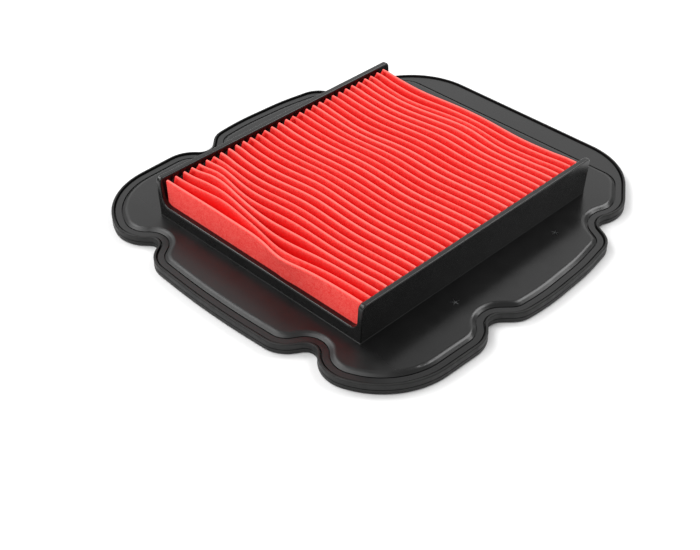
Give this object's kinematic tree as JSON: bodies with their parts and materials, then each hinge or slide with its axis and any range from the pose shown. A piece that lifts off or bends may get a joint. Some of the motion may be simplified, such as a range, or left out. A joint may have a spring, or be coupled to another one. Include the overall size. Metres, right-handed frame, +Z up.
{
  "type": "air filter",
  "caption": "Panel air filter for a motorcycle air box: red pleated medium in a black plastic collar and plate, with a scalloped rim and a rubber seal round its edge.",
  "frame": {"origin": "under the middle of the plate, on the plane that the seal rests on", "axes": "+Z up out of the dirty side, +Y along the plate towards its unscalloped back edge, +X along the pleats"},
  "size_m": [0.2308, 0.2464, 0.0292],
  "materials": {
    "frame_plastic": "satin",
    "seal_rubber": "matte",
    "filter_medium": "non-woven felt",
    "adhesive": "satin"
  },
  "bodies": {
    "root": {"frame": "frame_plastic", "rim_seal": "seal_rubber", "pleated_media": "filter_medium", "side_seal_left": "adhesive", "side_seal_right": "adhesive", "end_seal_front": "adhesive", "end_seal_back": "adhesive"}
  },
  "joints": []
}
